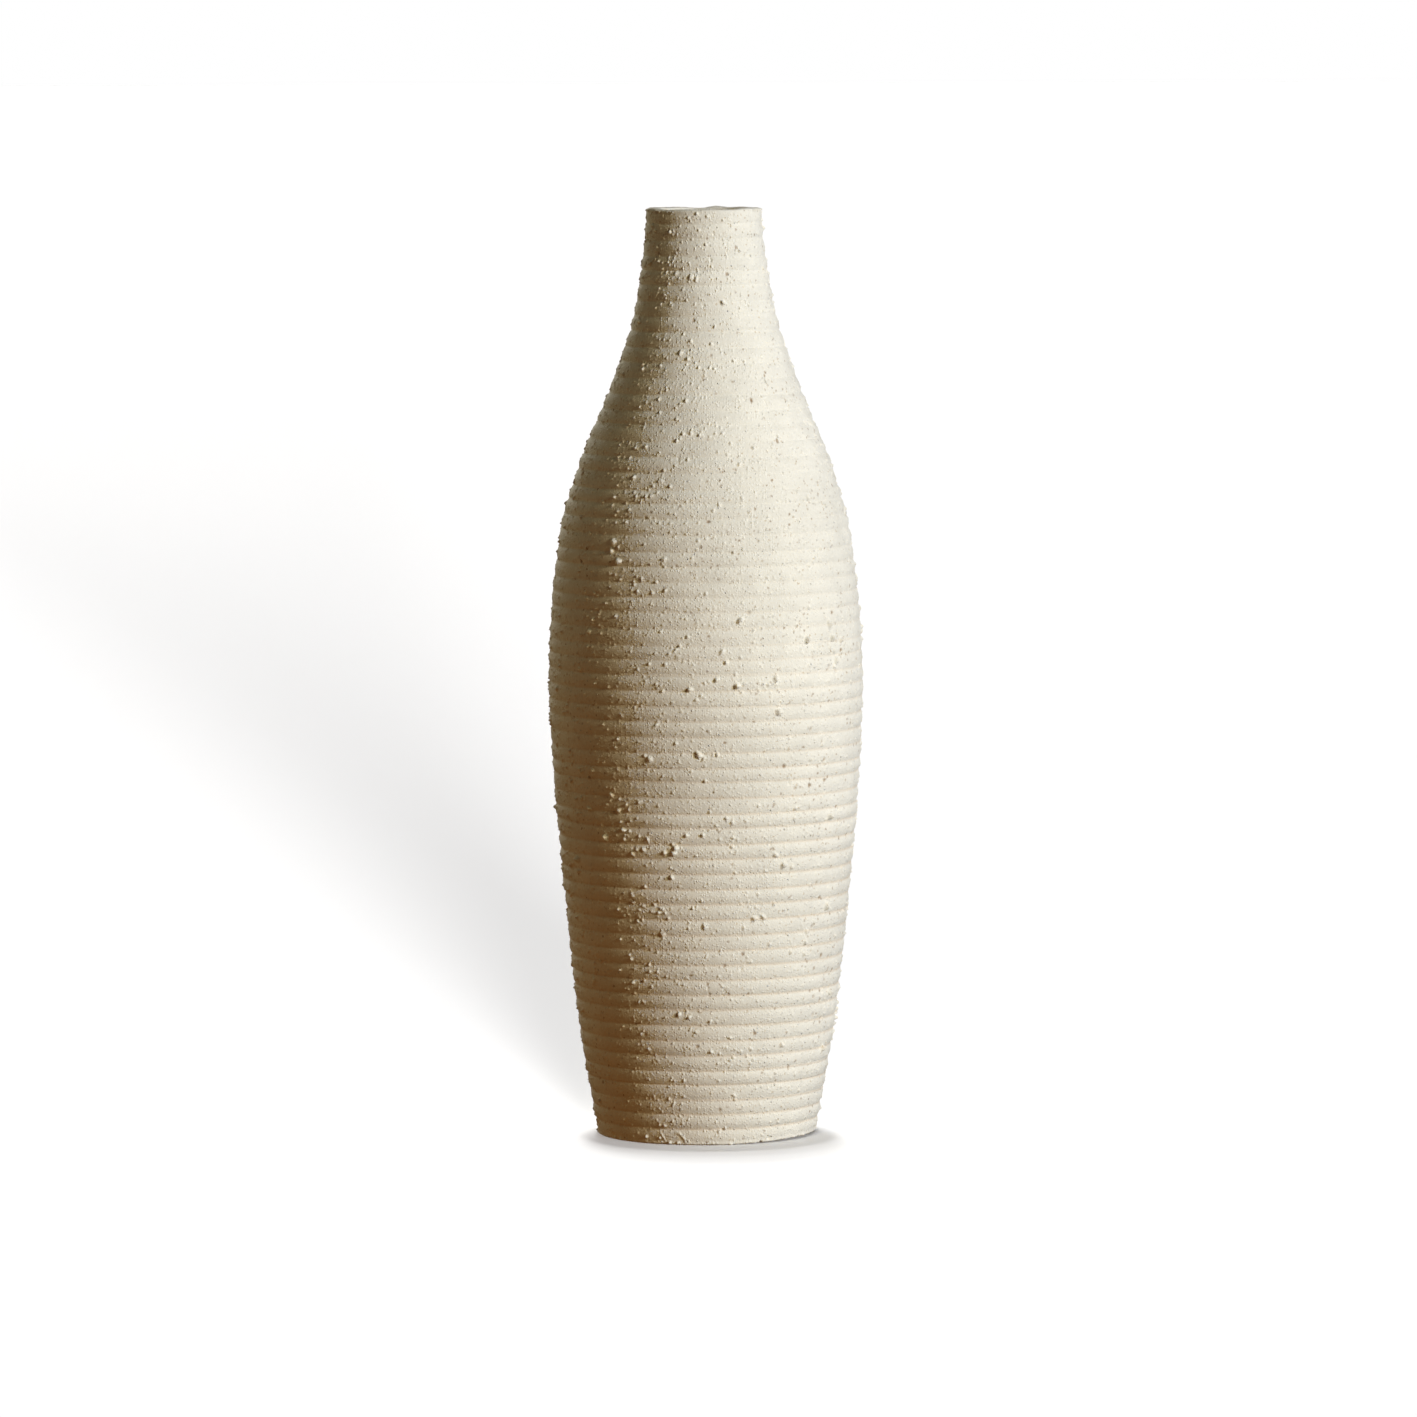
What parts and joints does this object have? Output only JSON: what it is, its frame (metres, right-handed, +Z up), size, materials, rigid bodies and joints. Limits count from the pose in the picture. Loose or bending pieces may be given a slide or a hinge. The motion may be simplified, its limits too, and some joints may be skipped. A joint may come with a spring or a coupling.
{
  "type": "stoneware vase",
  "caption": "Tall bottle vase in coarse cream stoneware: coiled clay wall with level grooves, luted stages on a slab base, narrow plain neck, glazed inside.",
  "frame": {"origin": "centre of the foot, on the surface that the vase stands on", "axes": "+Z up the axis of the vase, out of its mouth; X and Y are level, and the vase is round"},
  "size_m": [0.1561, 0.1562, 0.46],
  "materials": {
    "stoneware": "matt, unglazed, sandy",
    "glaze": "satin"
  },
  "bodies": {
    "root": {"base_slab": "stoneware", "foot_wall": "stoneware", "lower_wall": "stoneware", "rising_wall": "stoneware", "belly_wall": "stoneware", "upper_belly_wall": "stoneware", "shoulder_wall": "stoneware", "collar_wall": "stoneware", "neck_wall": "stoneware", "rim": "stoneware", "inner_glaze": "glaze"}
  },
  "joints": []
}
